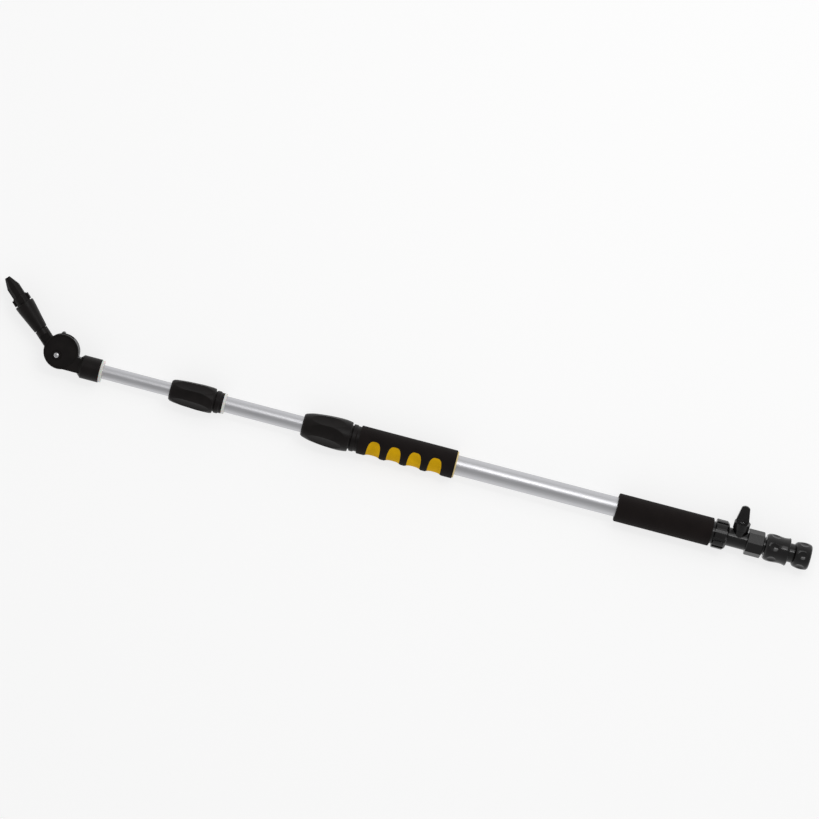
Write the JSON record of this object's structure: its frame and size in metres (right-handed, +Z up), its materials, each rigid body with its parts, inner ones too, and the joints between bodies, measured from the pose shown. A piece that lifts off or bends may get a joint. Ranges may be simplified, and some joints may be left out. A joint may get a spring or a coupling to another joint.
{
  "type": "telescopic cleaning lance",
  "caption": "Telescopic hose-fed cleaning lance: bent nozzle head on a clamp hinge, sliding aluminium tubes with twist locks, foam grips, lever valve and quick hose connector.",
  "frame": {"origin": "centre of the hose mouth at the tail end, on the pole's axis", "axes": "+X along the pole from the hose mouth towards the nozzle, +Z up as the lance lies flat and along the head's hinge pin, the head bends towards -Y"},
  "size_m": [1.0616, 0.1062, 0.0398],
  "materials": {
    "satin_black": "satin",
    "gloss_black": "semi-gloss",
    "inner_plastic": "moulded",
    "white_nylon": "moulded",
    "foam_black": "closed-cell foam",
    "foam_yellow": "closed-cell foam",
    "seal_rubber": "nitrile",
    "aluminium": "satin anodised",
    "spring_steel": "bright",
    "bright_chrome": "polished",
    "stem_brass": "turned",
    "cast_grey": "die-cast grey"
  },
  "bodies": {
    "grip_tube": {"outer_tube": "aluminium", "rear_grip": "foam_black", "front_grip_core": "foam_yellow", "front_grip_cover": "foam_black", "tail_fitting": "gloss_black", "tail_seal": "seal_rubber", "coupling_washer": "seal_rubber", "valve_body": "gloss_black", "ball_seats": "white_nylon", "seat_retainer": "inner_plastic", "adaptor_washer": "seal_rubber", "hose_adaptor": "gloss_black", "nipple_seal": "seal_rubber", "outer_lock_base": "satin_black", "outer_lock_seal": "seal_rubber", "outer_lock_collet": "inner_plastic"},
    "coupling_nut": {"coupling_nut": "gloss_black"},
    "valve_lever": {"valve_lever": "gloss_black", "lever_screw": "spring_steel", "valve_stem": "stem_brass", "stem_seal": "seal_rubber", "valve_ball": "bright_chrome"},
    "hose_connector": {"connector_body": "gloss_black", "locking_claws": "inner_plastic", "release_spring": "spring_steel", "hose_clamp_ring": "inner_plastic"},
    "release_sleeve": {"release_sleeve": "gloss_black"},
    "hose_nut": {"hose_nut": "gloss_black"},
    "outer_lock_nut": {"outer_lock_nut": "satin_black", "outer_lock_wiper": "seal_rubber"},
    "middle_tube": {"middle_tube": "aluminium", "middle_bush": "inner_plastic", "middle_bush_seal": "seal_rubber", "inner_lock_base": "satin_black", "inner_lock_ring": "white_nylon", "inner_lock_seal": "seal_rubber", "inner_lock_collet": "inner_plastic"},
    "inner_lock_nut": {"inner_lock_nut": "satin_black", "inner_lock_wiper": "seal_rubber"},
    "inner_tube": {"inner_tube": "aluminium", "inner_bush": "inner_plastic", "inner_bush_seal": "seal_rubber", "socket_ring": "white_nylon", "hinge_socket": "satin_black", "hinge_rear_plate": "satin_black", "plate_screws": "spring_steel", "hinge_bolt": "bright_chrome", "clamp_washer": "spring_steel"},
    "clamp_lever": {"clamp_lever": "cast_grey"},
    "swivel_arm": {"swivel_arm": "satin_black", "hinge_seals": "seal_rubber"},
    "nozzle": {"nozzle_barrel": "satin_black", "nozzle_lug_collar": "satin_black", "nozzle_tip": "satin_black"}
  },
  "joints": [
    {"name": "valve_turn", "type": "hinge", "parent": "grip_tube", "child": "valve_lever", "pos_m": [0.093, 0, 0], "axis": [0, -0.9455, 0.3256], "range_deg": [0, 90]},
    {"name": "coupling_turn", "type": "hinge", "parent": "grip_tube", "child": "coupling_nut", "pos_m": [0.107, 0, 0], "axis": [1, 0, 0], "range_deg": [0, 360]},
    {"name": "connector_swivel", "type": "hinge", "parent": "grip_tube", "child": "hose_connector", "pos_m": [0.028, 0, 0], "axis": [1, 0, 0], "continuous": true},
    {"name": "release_slide", "type": "slide", "parent": "hose_connector", "child": "release_sleeve", "axis": [-1, 0, 0], "range_m": [0, 0.0045], "stiffness_N_per_m": 1500, "springref_m": -0.003, "deforming": ["release_spring"]},
    {"name": "hose_nut_turn", "type": "hinge", "parent": "hose_connector", "child": "hose_nut", "pos_m": [0.01, 0, 0], "axis": [1, 0, 0], "range_deg": [0, 360]},
    {"name": "outer_lock_turn", "type": "hinge", "parent": "grip_tube", "child": "outer_lock_nut", "pos_m": [0.5945, 0, 0], "axis": [1, 0, 0], "range_deg": [0, 150]},
    {"name": "middle_slide", "type": "slide", "parent": "grip_tube", "child": "middle_tube", "axis": [1, 0, 0], "range_m": [-0.095, 0.3]},
    {"name": "inner_lock_turn", "type": "hinge", "parent": "middle_tube", "child": "inner_lock_nut", "pos_m": [0.7705, 0, 0], "axis": [1, 0, 0], "range_deg": [0, 150]},
    {"name": "inner_slide", "type": "slide", "parent": "middle_tube", "child": "inner_tube", "axis": [1, 0, 0], "range_m": [-0.082, 0.34]},
    {"name": "clamp_lever_turn", "type": "hinge", "parent": "inner_tube", "child": "clamp_lever", "pos_m": [0.9749, -0.0065, 0], "axis": [0, 0, 1], "range_deg": [0, 180]},
    {"name": "head_tilt", "type": "hinge", "parent": "inner_tube", "child": "swivel_arm", "pos_m": [0.9749, -0.0065, 0], "axis": [0, 0, -1], "range_deg": [-42.5, 62.5]},
    {"name": "nozzle_twist", "type": "hinge", "parent": "swivel_arm", "child": "nozzle", "pos_m": [0.9749, -0.0065, 0], "axis": [0.7373, -0.6756, 0], "range_deg": [-90, 90]}
  ]
}
